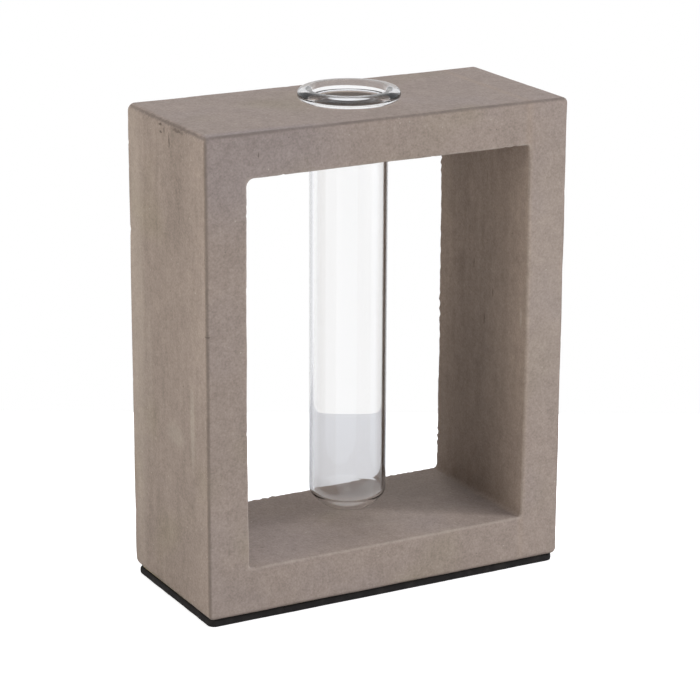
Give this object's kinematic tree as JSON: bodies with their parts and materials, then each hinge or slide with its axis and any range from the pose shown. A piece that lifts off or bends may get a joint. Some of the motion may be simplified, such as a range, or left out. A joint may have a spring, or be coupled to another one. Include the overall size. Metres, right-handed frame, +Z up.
{
  "type": "concrete vase",
  "caption": "Cast concrete frame on a foam base pad with a clear glass tube, closed below, that hangs by its rim through the top bar and lifts out.",
  "frame": {"origin": "centre of the underside of the base pad, on the surface the vase stands on", "axes": "+Z up along the tube; Y from front to back through the window, with the front face at -Y; X across the width"},
  "size_m": [0.125, 0.055, 0.1573],
  "materials": {
    "concrete": "smooth cast concrete, warm grey, matt, finely mottled with small pits",
    "glass": "clear, thin, polished",
    "foam": "near-black closed-cell foam rubber, matt",
    "adhesive": "thin clear-amber adhesive film"
  },
  "bodies": {
    "frame": {"concrete_frame": "concrete", "base_pad": "foam", "adhesive_film": "adhesive"},
    "tube": {"glass_tube": "glass"}
  },
  "joints": [
    {"name": "tube_lift", "type": "slide", "parent": "frame", "child": "tube", "axis": [0, 0, 1], "range_m": [0, 0.14]}
  ]
}
